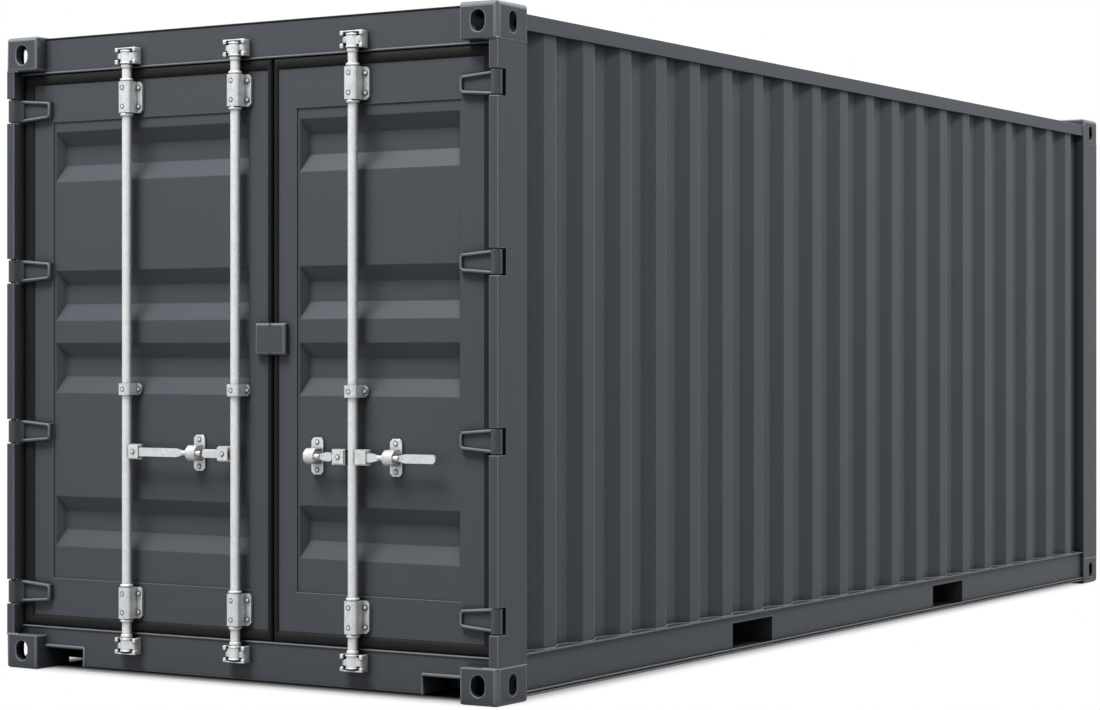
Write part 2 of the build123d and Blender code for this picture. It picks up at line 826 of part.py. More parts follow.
def main():
    os.makedirs("parts", exist_ok=True)

    write("bottom_corner_castings", *castings(top=False))
    write("top_corner_castings", *castings(top=True))
    for name, piece in (
        ("door_post", door_post()), ("blank_post", blank_post()), ("top_rail", top_rail()),
        ("bottom_rail", bottom_rail()), ("side_wall", side_wall()),
    ):
        right, left = both_sides(piece)
        write(name + "_right", right)
        write(name + "_left", left)
    write("door_header", door_header())
    write("door_sill", door_sill())
    write("blank_header", blank_header())
    write("blank_sill", blank_sill())
    write("end_wall", end_wall())
    write("roof_panel", roof_panel())
    write("floor_deck", floor_deck())
    write("cross_members", *cross_members())
    write("fork_pockets", *fork_pockets())
    write("top_cam_keepers", *keepers(top_cam_z, 1))
    write("bottom_cam_keepers", *keepers(bottom_cam_z, -1))

    left_span = (-leaf_edge_x, left_free_x)
    right_span = (right_free_x, leaf_edge_x)
    write("left_door_frame", leaf_frame(*left_span, hinge_stile, free_stile))
    write("right_door_frame", leaf_frame(*right_span, free_stile, hinge_stile))
    write("left_door_panel", leaf_panel(left_span[0] + hinge_stile, left_span[1] - free_stile))
    write("right_door_panel", leaf_panel(right_span[0] + free_stile, right_span[1] - hinge_stile))
    write("left_door_gasket", leaf_gasket(*left_span, gasket_width, centre_gasket))
    write("right_door_gasket", leaf_gasket(*right_span, centre_gasket, gasket_width))
    hinges = door_hinges()
    write("right_door_hinges", *hinges)
    write("left_door_hinges", *[mirror(hinge, about=Plane.YZ) for hinge in hinges])
    write("left_bar_guides", *bar_guides((left_outer_bar_x, left_inner_bar_x)))
    write("right_bar_guides", *bar_guides((right_bar_x,)))
    write("left_handle_retainer", retainer(left_saddle_x))
    write("right_handle_retainer", retainer(right_saddle_x))
    write("right_bar_stay", bar_stay())
    write("left_lock_plate", lock_plate(seam_x - lock_plate_width / 2, seam_x - lock_plate_gap / 2, True))
    write("right_lock_plate", lock_plate(seam_x + lock_plate_gap / 2, seam_x + lock_plate_width / 2, False))

    write("left_outer_bar", lock_bar(left_outer_bar_x, 1))
    write("left_inner_bar", lock_bar(left_inner_bar_x, -1))
    write("right_bar", lock_bar(right_bar_x, 1))
    left_tip_x = left_saddle_x + tongue_run / 2
    inner_tip_x = left_tip_x + saddle_clear
    write("left_outer_handle", lock_handle(left_outer_bar_x, 1, left_tip_x, left_saddle_x))
    write("left_inner_handle", lock_handle(left_inner_bar_x, -1, inner_tip_x))
    write("right_handle", lock_handle(right_bar_x, 1, right_grip_x, right_saddle_x))


main()
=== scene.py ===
import bmesh
import bpy
import json
import math
from mathutils import Matrix, Vector


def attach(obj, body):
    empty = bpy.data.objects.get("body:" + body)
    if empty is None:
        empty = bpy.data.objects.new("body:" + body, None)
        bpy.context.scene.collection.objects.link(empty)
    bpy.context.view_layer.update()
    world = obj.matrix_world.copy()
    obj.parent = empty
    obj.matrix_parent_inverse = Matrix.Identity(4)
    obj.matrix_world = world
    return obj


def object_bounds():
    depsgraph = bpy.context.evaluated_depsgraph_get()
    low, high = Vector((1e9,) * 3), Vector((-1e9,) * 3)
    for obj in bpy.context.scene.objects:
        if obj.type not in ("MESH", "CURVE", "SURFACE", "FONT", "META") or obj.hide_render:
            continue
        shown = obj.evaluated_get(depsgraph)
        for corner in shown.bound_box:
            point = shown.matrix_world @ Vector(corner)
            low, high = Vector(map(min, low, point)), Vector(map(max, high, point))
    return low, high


# A twenty-foot storage container in anthracite paint with galvanised lock gear, in metres.
# The doors face -Y and the origin is on the ground under the middle of the container.

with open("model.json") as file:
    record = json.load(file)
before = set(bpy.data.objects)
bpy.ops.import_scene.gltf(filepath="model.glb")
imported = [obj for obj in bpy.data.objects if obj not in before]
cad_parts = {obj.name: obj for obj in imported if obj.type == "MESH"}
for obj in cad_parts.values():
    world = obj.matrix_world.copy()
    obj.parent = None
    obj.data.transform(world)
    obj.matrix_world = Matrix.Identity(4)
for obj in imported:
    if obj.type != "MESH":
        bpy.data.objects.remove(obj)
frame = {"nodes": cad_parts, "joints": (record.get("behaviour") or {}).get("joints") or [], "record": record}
nodes = frame["nodes"]
cad_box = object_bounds()

# Photograph
image_width = 1100
image_height = 710

# Camera, level, off the container's front right corner
camera_place = (6.567, -11.007, 1.315)
camera_yaw = math.radians(30.52)
camera_focal_pixels = 2628
camera_centre_x = 650
camera_centre_y = 348
camera_reach = 500
sensor_width = 36

# Light
sky_strength = 0.17
floor_tone = 0.2
floor_size = 160
floor_drop = 0.0005
shadow_inset = 0.18
shadow_reach = 0.24
shadow_lean = 0.06
lamps = {
    "front_top": dict(place=(-1.6, -8.3, 12.8), target=(0, -3.0, 1.4), width=7, height=5, watts=2330),
    "right_top": dict(place=(4.6, 5.2, 8.6), target=(1.2, 0.2, 1.6), width=6, height=3, watts=420),
    "right_fill": dict(place=(6.5, -1.5, 8.0), target=(1.2, 0.0, 1.6), width=5, height=3, watts=300),
    "rear_fill": dict(place=(-6.5, 7.0, 11.0), target=(0, 0, 1.3), width=7, height=5, watts=1500),
}

# Colours, linear
white = (1, 1, 1, 1)
black = (0, 0, 0, 1)
paint_dark = (0.066, 0.0745, 0.086, 1)
paint_light = (0.080, 0.0895, 0.1035, 1)
# Painted highlights: lighter paint on rounded edges, lips, ribs and rims
edge_highlight_dark = (0.13, 0.142, 0.156, 1)
edge_highlight_light = (0.23, 0.245, 0.262, 1)
# painted shade: the colour that the paint's corners, joints and hollows are darkened towards
paint_shade_colour = (0.016, 0.018, 0.020, 1)
# Painted highlight on the bends of the corrugated walls
bend_highlight_dark = (0.088, 0.098, 0.111, 1)
bend_highlight_light = (0.115, 0.127, 0.142, 1)
# Painted highlight on the weld beads
weld_highlight_dark = (0.20, 0.215, 0.23, 1)
weld_highlight_light = (0.34, 0.355, 0.37, 1)
zinc_dark = (0.55, 0.57, 0.58, 1)
zinc_light = (0.90, 0.915, 0.925, 1)
bar_zinc_dark = (0.70, 0.725, 0.735, 1)
bar_zinc_light = (0.97, 0.98, 0.985, 1)
# painted shade: the colour that the zinc's corners and joints are darkened towards
zinc_shade_colour = (0.05, 0.05, 0.055, 1)
# Dark zinc on the washers: painted shade round each bolt head
washer_shade_dark = (0.10, 0.10, 0.105, 1)
washer_shade_light = (0.18, 0.18, 0.185, 1)
rubber_dark = (0.010, 0.010, 0.011, 1)
rubber_light = (0.022, 0.021, 0.022, 1)
ply_dark = (0.20, 0.115, 0.06, 1)
ply_light = (0.42, 0.27, 0.15, 1)

# Shared effects
node_spacing = 220
patch_noise = {"Detail": 4.0, "Roughness": 0.6}
grain_noise = {"Detail": 3.0, "Roughness": 0.7}
# Painted shade from ambient occlusion: where it starts and where it is full, in tight corners and in deep
# hollows
corner_shade_shares = (0.88, 0.3)
hollow_shade_shares = (0.42, 0.12)
hollow_shade_reach = 0.3
shade_samples = 4

# Paint
paint_drift = {"Patch_Scale": 0.9, "Grain_Scale": 90.0, "Grain_Share": 0.35}
# Painted shade in corners and joints: its reach, and its strength on plain paint, edge highlights and weld
# beads
paint_shade_reach = 0.04
paint_shade_strength = 1.6
edge_shade_strength = 0.4
weld_shade_strength = 0.3
paint_roughness = (0.42, 0.56)
paint_specular = 0.22
peel_noise = {"Scale": 320.0, "Detail": 2.0}
peel_bump = {"Strength": 0.12, "Distance": 0.0006}

# Zinc
zinc_metallic = 0.4
zinc_drift = {"Patch_Scale": 24.0, "Grain_Scale": 160.0, "Grain_Share": 0.4}
# reach and strength of the painted shade in the zinc's corners and joints
zinc_shade = {"Reach": 0.024, "Strength": 0.9}
zinc_roughness = (0.36, 0.56)
zinc_bump = {"Strength": 0.15, "Distance": 0.0004}
spangle_cells = {"Scale": 110.0, "Randomness": 1.0}
spangle_share = 0.4

# Rubber
rubber_drift = {"Patch_Scale": 3.0, "Grain_Scale": 260.0, "Grain_Share": 0.5}
rubber_roughness = (0.55, 0.8)
rubber_bump = {"Strength": 0.2, "Distance": 0.0005}
rubber_specular = 0.12

# Plywood
ply_stretch = (14.0, 0.9, 14.0)
ply_grain = {"Scale": 3.0, "Detail": 8.0, "Roughness": 0.65, "Distortion": 0.6}
ply_boards = {"Scale": 1.0, "Mortar_Size": 0.002, "Brick_Width": 0.61, "Row_Height": 2.44}
ply_seam_share = 0.7
ply_roughness = (0.5, 0.75)
ply_bump = {"Strength": 0.2, "Distance": 0.001}

# Edge rounding, with the angles in degrees
merge_distance = 0.00002
flat_angle = 0.5
fold_angles = (15, 60)
corner_angles = (40, 130)
sharp_angles = (60, 130)
sheet_smooth_angle = 12
plate_smooth_angle = 32
round_smooth_angle = 50
edge_steps = 3
bend_steps = 4
thick_edge_steps = 5
plate_edge = 0.0035
casting_edge = 0.008
short_edge = 0.045
short_edge_share = 0.25
sheet_bend = 0.004
panel_bend = 0.008
gear_edge = 0.002
rubber_edge = 0.010

# Bolts
bolt_radius = 0.0075
bolt_height = 0.008
cap_bolt_height = 0.0045
plate_bolt_height = 0.0042
cover_bolt_height = 0.0014
washer_radius = 0.0108
washer_height_share = 0.25
washer_side_share = 0.7
washer_top_share = 0.93
washer_sides = 20
head_side_share = 0.7
head_top_share = 0.7
head_foot_share = 0.5
head_sides = 6
cover_bolt_offset = 0.002
bracket_bolt_shares = (0.2, 0.8)
clip_bolt_shares = (0.5,)
plate_bolt_inset = 0.0185

# Collars and cam rings on the lock bars
bar_radius = 0.019
collar_radius = 0.0265
collar_height = 0.013
collar_gap = 0.0006
collar_fullness = 0.6
collar_steps = 8
collar_sides = 40
neck_radius = 0.0232
neck_height = 0.016
cam_ring_radius = 0.0278
cam_ring_height = 0.007

# Bosses on the keepers and cap plates on the handles
knob_width = 0.016
knob_depth = 0.024
knob_height = 0.018
knob_overhang = 0.004
lug_reach = 0.010
lug_depth = 0.026
lug_height = 0.026
hub_size = 0.060
cap_size = 0.052
cap_thickness = 0.005
fitting_edge = 0.002
fitting_edge_steps = 3

# Welds and folded lips
bead_sides = 8
lip_sides = 12
weld_radius = 0.0036
weld_inset = 0.0012
weld_ripple = 0.010
weld_ripple_share = 0.22
lip_radius = 0.0042
notch_lip_radius = 0.007
rail_lip_radius = 0.004
rail_foot_lips = (0.003, 0.016)
hinge_rib_radius = 0.006
tip_round = 0.008
tip_slope = 0.15

# Bulge of the door gaskets
gasket_bulge = 0.010
gasket_bulge_steps = 10
gasket_fullness = 0.5

# Seam of the lock plate, and the dark rubber line along the top of the header as painted shade
plate_seam = 0.0005
seam_overlap = 0.0045
seam_lift = 0.0002
shade_line_radius = 0.0045

# Rims of the holes in the corner castings
end_hole_width = 0.068
side_hole_width = 0.058
hole_height = 0.087
hole_rise = 0.074
hole_from_side = 0.0895
hole_from_end = 0.1025
rim_radius = 0.0035
rim_steps = 12
sleeve_wall = 0.008
sleeve_depth = 0.034

# Decimals of a metre by which points are told apart
level_decimals = 3
line_decimals = 4


# Node helpers

def add_node(tree, kind, **values):
    """A node of the given kind, beside the one before it, with some of its properties set."""
    node = tree.nodes.new(kind)
    node.location.x = node_spacing * len(tree.nodes)
    for name, value in values.items():
        setattr(node, name, value)
    return node


def set_inputs(node, **values):
    """Set a node's input sockets by name, with _ for a space."""
    for name, value in values.items():
        node.inputs[name.replace("_", " ")].default_value = value


def shader_group(name, inputs, outputs):
    """An empty shader node group with named sockets."""
    group = bpy.data.node_groups.new(name, "ShaderNodeTree")
    for socket, value in inputs.items():
        kind = "NodeSocketColor" if isinstance(value, tuple) else "NodeSocketFloat"
        made = group.interface.new_socket(socket, in_out="INPUT", socket_type=kind)
        made.default_value = value
    for socket, kind in outputs.items():
        group.interface.new_socket(socket, in_out="OUTPUT", socket_type=kind)
    entry = add_node(group, "NodeGroupInput")
    leave = add_node(group, "NodeGroupOutput")
    return group, entry, leave


def object_coordinates(tree):
    """The part's own coordinates, in metres."""
    return add_node(tree, "ShaderNodeTexCoord").outputs["Object"]


# Shared effects

def tone_drift_group():
    """Slow drift between two tones with a fine grain over it."""
    group, entry, leave = shader_group(
        "tone_drift",
        {"Dark": black, "Light": white, "Patch Scale": 1.0, "Grain Scale": 1.0, "Grain Share": 1.0},
        {"Color": "NodeSocketColor", "Grain": "NodeSocketFloat"},
    )
    place = object_coordinates(group)
    patch = add_node(group, "ShaderNodeTexNoise")
    grain = add_node(group, "ShaderNodeTexNoise")
    set_inputs(patch, **patch_noise)
    set_inputs(grain, **grain_noise)
    blend = add_node(group, "ShaderNodeMix", data_type="FLOAT")
    tone = add_node(group, "ShaderNodeMix", data_type="RGBA")
    link = group.links.new
    for texture, scale in ((patch, "Patch Scale"), (grain, "Grain Scale")):
        link(place, texture.inputs["Vector"])
        link(entry.outputs[scale], texture.inputs["Scale"])
    link(entry.outputs["Grain Share"], blend.inputs["Factor"])
    link(patch.outputs["Fac"], blend.inputs["A"])
    link(grain.outputs["Fac"], blend.inputs["B"])
    link(blend.outputs["Result"], tone.inputs["Factor"])
    link(entry.outputs["Dark"], tone.inputs["A"])
    link(entry.outputs["Light"], tone.inputs["B"])
    link(tone.outputs["Result"], leave.inputs["Color"])
    link(grain.outputs["Fac"], leave.inputs["Grain"])
    return group


def painted_shade_group():
    """A painted-shade mask from ambient occlusion: high in tight corners and joints, and deep inside
    hollows.
    """
    group, entry, leave = shader_group(
        "painted_shade", {"Reach": 1.0, "Strength": 1.0, "Deep Reach": hollow_shade_reach}, {"Mask": "NodeSocketFloat"}
    )
    link = group.links.new
    masks = []
    for reach, (open_share, closed_share) in (("Reach", corner_shade_shares), ("Deep Reach", hollow_shade_shares)):
        closed = add_node(group, "ShaderNodeAmbientOcclusion", samples=shade_samples)
        invert = add_node(group, "ShaderNodeMapRange", clamp=True)
        set_inputs(invert, From_Min=open_share, From_Max=closed_share)
        link(entry.outputs[reach], closed.inputs["Distance"])
        link(closed.outputs["AO"], invert.inputs["Value"])
        masks.append(invert.outputs["Result"])
    scale = add_node(group, "ShaderNodeMath", operation="MULTIPLY")
    most = add_node(group, "ShaderNodeMath", operation="MAXIMUM")
    link(masks[0], scale.inputs[0])
    link(entry.outputs["Strength"], scale.inputs[1])
    link(scale.outputs["Value"], most.inputs[0])
    link(masks[1], most.inputs[1])
    link(most.outputs["Value"], leave.inputs["Mask"])
    return group


tone_drift = tone_drift_group()
painted_shade = painted_shade_group()


# Materials

def new_material(name):
    """A material with its Principled shader, ready for nodes."""
    material = bpy.data.materials.new(name)
    material.use_nodes = True
    shader = material.node_tree.nodes["Principled BSDF"]
    return material, material.node_tree, shader


def place_group(tree, group, **values):
    """A shared effect placed in a material with its own values."""
    node = add_node(tree, "ShaderNodeGroup", node_tree=group)
    set_inputs(node, **values)
    return node


def mix_colour(tree, factor, first, second):
    """A mix of a colour from another node with a plain one."""
    mix = add_node(tree, "ShaderNodeMix", data_type="RGBA")
    tree.links.new(factor, mix.inputs["Factor"])
    tree.links.new(first, mix.inputs["A"])
    mix.inputs["B"].default_value = second
    return mix.outputs["Result"]


def spread(tree, value, limits):
    """A value from 0 to 1 spread between two limits."""
    node = add_node(tree, "ShaderNodeMapRange")
    set_inputs(node, To_Min=limits[0], To_Max=limits[1])
    tree.links.new(value, node.inputs["Value"])
    return node.outputs["Result"]


def bump(tree, shader, height, **values):
    """A bump from a height that varies over the surface."""
    node = add_node(tree, "ShaderNodeBump")
    set_inputs(node, **values)
    tree.links.new(height, node.inputs["Height"])
    tree.links.new(node.outputs["Normal"], shader.inputs["Normal"])


def satin_coat(name, dark, light, joint_strength):
    """A satin coating between two tones, darkened by painted shade in its corners and joints, with a fine
    orange peel.
    """
    material, tree, shader = new_material(name)
    drift = place_group(tree, tone_drift, Dark=dark, Light=light, **paint_drift)
    # painted shade: ambient occlusion darkens corners, joints and hollows
    joints = place_group(tree, painted_shade, Reach=paint_shade_reach, Strength=joint_strength)
    colour = mix_colour(tree, joints.outputs["Mask"], drift.outputs["Color"], paint_shade_colour)
    tree.links.new(colour, shader.inputs["Base Color"])
    tree.links.new(spread(tree, drift.outputs["Grain"], paint_roughness), shader.inputs["Roughness"])
    peel = add_node(tree, "ShaderNodeTexNoise")
    set_inputs(peel, **peel_noise)
    tree.links.new(object_coordinates(tree), peel.inputs["Vector"])
    bump(tree, shader, peel.outputs["Fac"], **peel_bump)
    shader.inputs["Specular IOR Level"].default_value = paint_specular
    return material


def galvanised_zinc(name, dark, light):
    """Hot-dip galvanised steel between two tones, with a fine spangle and painted shade in its corners and
    joints.
    """
    material, tree, shader = new_material(name)
    drift = place_group(tree, tone_drift, Dark=dark, Light=light, **zinc_drift)
    spangle = add_node(tree, "ShaderNodeTexVoronoi")
    set_inputs(spangle, **spangle_cells)
    tree.links.new(object_coordinates(tree), spangle.inputs["Vector"])
    flake = add_node(tree, "ShaderNodeRGBToBW")
    tree.links.new(spangle.outputs["Color"], flake.inputs["Color"])
    # painted shade: ambient occlusion darkens corners, joints and hollows
    joints = place_group(tree, painted_shade, **zinc_shade)
    patches = add_node(tree, "ShaderNodeMix", data_type="RGBA", blend_type="SOFT_LIGHT")
    patches.inputs["Factor"].default_value = spangle_share
    tree.links.new(drift.outputs["Color"], patches.inputs["A"])
    tree.links.new(flake.outputs["Val"], patches.inputs["B"])
    colour = mix_colour(tree, joints.outputs["Mask"], patches.outputs["Result"], zinc_shade_colour)
    tree.links.new(colour, shader.inputs["Base Color"])
    tree.links.new(spread(tree, flake.outputs["Val"], zinc_roughness), shader.inputs["Roughness"])
    bump(tree, shader, drift.outputs["Grain"], **zinc_bump)
    shader.inputs["Metallic"].default_value = zinc_metallic
    return material


def door_rubber():
    """Matt black rubber, slightly dusty."""
    material, tree, shader = new_material("door_rubber")
    drift = place_group(tree, tone_drift, Dark=rubber_dark, Light=rubber_light, **rubber_drift)
    tree.links.new(drift.outputs["Color"], shader.inputs["Base Color"])
    tree.links.new(spread(tree, drift.outputs["Grain"], rubber_roughness), shader.inputs["Roughness"])
    bump(tree, shader, drift.outputs["Grain"], **rubber_bump)
    shader.inputs["Specular IOR Level"].default_value = rubber_specular
    return material


def floor_plywood():
    """Oiled plywood boards with their grain along the container and a seam at each board."""
    material, tree, shader = new_material("floor_plywood")
    stretch = add_node(tree, "ShaderNodeMapping")
    stretch.inputs["Scale"].default_value = ply_stretch
    tree.links.new(object_coordinates(tree), stretch.inputs["Vector"])
    grain = add_node(tree, "ShaderNodeTexNoise")
    set_inputs(grain, **ply_grain)
    tree.links.new(stretch.outputs["Vector"], grain.inputs["Vector"])
    wood = add_node(tree, "ShaderNodeMix", data_type="RGBA")
    wood.inputs["A"].default_value = ply_dark
    wood.inputs["B"].default_value = ply_light
    tree.links.new(grain.outputs["Fac"], wood.inputs["Factor"])
    seams = add_node(tree, "ShaderNodeTexBrick", offset=0.0)
    set_inputs(seams, Color1=white, Color2=white, Mortar=black, **ply_boards)
    tree.links.new(object_coordinates(tree), seams.inputs["Vector"])
    boards = add_node(tree, "ShaderNodeMix", data_type="RGBA", blend_type="MULTIPLY")
    boards.inputs["Factor"].default_value = ply_seam_share
    tree.links.new(wood.outputs["Result"], boards.inputs["A"])
    tree.links.new(seams.outputs["Color"], boards.inputs["B"])
    tree.links.new(boards.outputs["Result"], shader.inputs["Base Color"])
    tree.links.new(spread(tree, grain.outputs["Fac"], ply_roughness), shader.inputs["Roughness"])
    bump(tree, shader, grain.outputs["Fac"], **ply_bump)
    return material


finishes = {
    "container_paint": satin_coat("container_paint", paint_dark, paint_light, paint_shade_strength),
    "galvanised_steel": galvanised_zinc("galvanised_zinc", zinc_dark, zinc_light),
    "rubber_gasket": door_rubber(),
    "plywood_floor": floor_plywood(),
}
# lighter copy of the paint, as a painted highlight on rounded edges
edge_highlight_paint = satin_coat("paint_on_edges", edge_highlight_dark, edge_highlight_light, edge_shade_strength)
# lighter copy of the paint, as a painted highlight on the walls' bends
bend_highlight_paint = satin_coat("paint_on_bends", bend_highlight_dark, bend_highlight_light, edge_shade_strength)
# lighter copy of the paint, as a painted highlight on the weld beads
weld_highlight_paint = satin_coat("paint_on_welds", weld_highlight_dark, weld_highlight_light, weld_shade_strength)
bar_zinc = galvanised_zinc("bar_zinc", bar_zinc_dark, bar_zinc_light)
# dark zinc for the washers, as painted shade round the bolt heads
seat_zinc = galvanised_zinc("seat_zinc", washer_shade_dark, washer_shade_light)


# Finish of each node, the lock bars with what belongs to each, and where the joints turn

slot_of_node = {part["node"]: part["material_slot"] for part in frame["record"]["subparts"]}
bars = {
    "left_outer_bar": ("left_door", "left_bar_guides", "left_outer_handle"),
    "left_inner_bar": ("left_door", "left_bar_guides", "left_inner_handle"),
    "right_bar": ("right_door", "right_bar_guides", "right_handle"),
}
turns = {joint["child"]: Vector(joint["pos_m"]) for joint in frame["joints"]}


# Rounded edges on the CAD pieces

def edge_weight_nodes():
    """Marks edges for the bevel: those that bend between two angles, less where an edge is short."""
    tree = bpy.data.node_groups.new("mark_edges", "GeometryNodeTree")
    tree.interface.new_socket("Geometry", in_out="INPUT", socket_type="NodeSocketGeometry")
    for name in ("Least Angle", "Most Angle", "Outer Only", "Short Share"):
        tree.interface.new_socket(name, in_out="INPUT", socket_type="NodeSocketFloat")
    tree.interface.new_socket("Geometry", in_out="OUTPUT", socket_type="NodeSocketGeometry")
    entry = add_node(tree, "NodeGroupInput")
    leave = add_node(tree, "NodeGroupOutput")
    bend = add_node(tree, "GeometryNodeInputMeshEdgeAngle")
    turn = add_node(tree, "ShaderNodeMix", data_type="FLOAT")
    over = add_node(tree, "FunctionNodeCompare", operation="GREATER_EQUAL")
    under = add_node(tree, "FunctionNodeCompare", operation="LESS_EQUAL")
    both = add_node(tree, "FunctionNodeBooleanMath", operation="AND")
    store = add_node(tree, "GeometryNodeStoreNamedAttribute", data_type="FLOAT", domain="EDGE")
    store.inputs["Name"].default_value = "bevel_weight_edge"
    link = tree.links.new
    link(entry.outputs["Geometry"], store.inputs["Geometry"])
    link(entry.outputs["Outer Only"], turn.inputs["Factor"])
    link(bend.outputs["Unsigned Angle"], turn.inputs["A"])
    link(bend.outputs["Signed Angle"], turn.inputs["B"])
    for compare, limit in ((over, "Least Angle"), (under, "Most Angle")):
        link(turn.outputs["Result"], compare.inputs["A"])
        link(entry.outputs[limit], compare.inputs["B"])
    link(over.outputs["Result"], both.inputs[0])
    link(under.outputs["Result"], both.inputs[1])
    ends = add_node(tree, "GeometryNodeInputMeshEdgeVertices")
    size = add_node(tree, "ShaderNodeVectorMath", operation="DISTANCE")
    long = add_node(tree, "FunctionNodeCompare", operation="GREATER_THAN")
    share = add_node(tree, "GeometryNodeSwitch", input_type="FLOAT")
    weight = add_node(tree, "ShaderNodeMath", operation="MULTIPLY")
    share.inputs["True"].default_value = 1.0
    long.inputs["B"].default_value = short_edge
    link(ends.outputs["Position 1"], size.inputs[0])
    link(ends.outputs["Position 2"], size.inputs[1])
    link(size.outputs["Value"], long.inputs["A"])
    link(long.outputs["Result"], share.inputs["Switch"])
    link(entry.outputs["Short Share"], share.inputs["False"])
    link(both.outputs["Boolean"], weight.inputs[0])
    link(share.outputs["Output"], weight.inputs[1])
    link(weight.outputs["Value"], store.inputs["Value"])
    link(store.outputs["Geometry"], leave.inputs["Geometry"])
    return tree


def smooth_nodes():
    """Smooth shading across edges that bend less than an angle."""
    tree = bpy.data.node_groups.new("smooth_bends", "GeometryNodeTree")
    tree.interface.new_socket("Geometry", in_out="INPUT", socket_type="NodeSocketGeometry")
    tree.interface.new_socket("Angle", in_out="INPUT", socket_type="NodeSocketFloat")
    tree.interface.new_socket("Geometry", in_out="OUTPUT", socket_type="NodeSocketGeometry")
    entry = add_node(tree, "NodeGroupInput")
    leave = add_node(tree, "NodeGroupOutput")
    bend = add_node(tree, "GeometryNodeInputMeshEdgeAngle")
    under = add_node(tree, "FunctionNodeCompare", operation="LESS_THAN")
    faces = add_node(tree, "GeometryNodeSetShadeSmooth", domain="FACE")
    edges = add_node(tree, "GeometryNodeSetShadeSmooth", domain="EDGE")
    link = tree.links.new
    link(entry.outputs["Geometry"], faces.inputs["Geometry"])
    link(faces.outputs["Geometry"], edges.inputs["Geometry"])
    link(bend.outputs["Unsigned Angle"], under.inputs["A"])
    link(entry.outputs["Angle"], under.inputs["B"])
    link(under.outputs["Result"], edges.inputs["Shade Smooth"])
    link(edges.outputs["Geometry"], leave.inputs["Geometry"])
    return tree


mark_edges = edge_weight_nodes()
smooth_bends = smooth_nodes()


def node_modifier(piece, tree, **values):
    """A geometry node modifier with its inputs set by name."""
    modifier = piece.modifiers.new(tree.name, "NODES")
    modifier.node_group = tree
    for socket in tree.interface.items_tree:
        key = socket.name.replace(" ", "_")
        if socket.in_out == "INPUT" and key in values:
            modifier[socket.identifier] = values[key]


def round_edges(
    piece, width, angles, steps=edge_steps, outer_only=1.0, short_share=1.0,
    smooth=plate_smooth_angle, clamp=True,
):
    """Rounds the edges that bend between two angles, and smooths the rest of the shape."""
    merge = piece.modifiers.new("merge", "WELD")
    merge.merge_threshold = merge_distance
    flats = piece.modifiers.new("flats", "DECIMATE")
    flats.decimate_type = "DISSOLVE"
    flats.angle_limit = math.radians(flat_angle)
    least, most = [math.radians(angle) for angle in angles]
    node_modifier(
        piece, mark_edges, Least_Angle=least, Most_Angle=most,
        Outer_Only=outer_only, Short_Share=short_share,
    )
    bevel = piece.modifiers.new("round", "BEVEL")
    bevel.limit_method = "WEIGHT"
    bevel.width = width
    bevel.segments = steps
    bevel.use_clamp_overlap = clamp
    # the rounded faces take the last slot, which is the painted-highlight paint where the piece has one
    bevel.material = len(piece.data.materials) - 1
    node_modifier(piece, smooth_bends, Angle=math.radians(smooth))
    normals = piece.modifiers.new("normals", "WEIGHTED_NORMAL")
    normals.keep_sharp = True


def dress_cad_nodes():
    """Gives each CAD node its finish and its rounded edges, which on most painted nodes take a lighter paint
    as a painted highlight.
    """
    sheets = ("side_wall_left", "side_wall_right", "end_wall")
    pressings = ("left_door_panel", "right_door_panel", "roof_panel")
    for name, piece in nodes.items():
        finish = slot_of_node[name]
        piece.data.materials.clear()
        piece.data.materials.append(finishes[finish])
        if name in sheets:
            # the walls' rounded bends take the painted-highlight paint
            piece.data.materials.append(bend_highlight_paint)
            round_edges(piece, sheet_bend, fold_angles, bend_steps, smooth=sheet_smooth_angle)
        elif name in pressings:
            round_edges(piece, panel_bend, fold_angles, bend_steps, outer_only=0.0)
        elif "castings" in name:
            piece.data.materials.append(edge_highlight_paint)
            round_edges(
                piece, casting_edge, corner_angles, thick_edge_steps,
                short_share=short_edge_share, clamp=False,
            )
        elif finish == "rubber_gasket":
            round_edges(piece, rubber_edge, sharp_angles, thick_edge_steps)
        elif finish == "galvanised_steel":
            if name in bars:
                piece.data.materials[0] = bar_zinc
            round_edges(piece, gear_edge, sharp_angles, smooth=round_smooth_angle)
        elif "hinges" in name:
            piece.data.materials.append(edge_highlight_paint)
            round_edges(piece, plate_edge, sharp_angles, smooth=round_smooth_angle)
        else:
            piece.data.materials.append(edge_highlight_paint)
            round_edges(piece, plate_edge, corner_angles)


# Places read from the CAD pieces

def solids(name):
    """The boxes of a node's separate solids, as (lowest corner, highest corner), from low to high."""
    mesh = bmesh.new()
    mesh.from_mesh(nodes[name].data)
    bmesh.ops.remove_doubles(mesh, verts=mesh.verts, dist=merge_distance)
    boxes = []
    left = set(mesh.verts)
    while left:
        group = [left.pop()]
        for vert in group:
            for edge in vert.link_edges:
                other = edge.other_vert(vert)
                if other in left:
                    left.remove(other)
                    group.append(other)
        low = Vector(min(v.co[i] for v in group) for i in range(3))
        high = Vector(max(v.co[i] for v in group) for i in range(3))
        boxes.append((low, high))
    mesh.free()
    return sorted(boxes, key=lambda box: (round(box[0].z, level_decimals), box[0].x))


def middle(box):
    """The middle of a box."""
    return (box[0] + box[1]) / 2


def node_box(name):
    """The box round all of a node, as (lowest corner, highest corner)."""
    points = [v.co for v in nodes[name].data.vertices]
    low = Vector(min(p[i] for p in points) for i in range(3))
    high = Vector(max(p[i] for p in points) for i in range(3))
    return low, high


# Added pieces

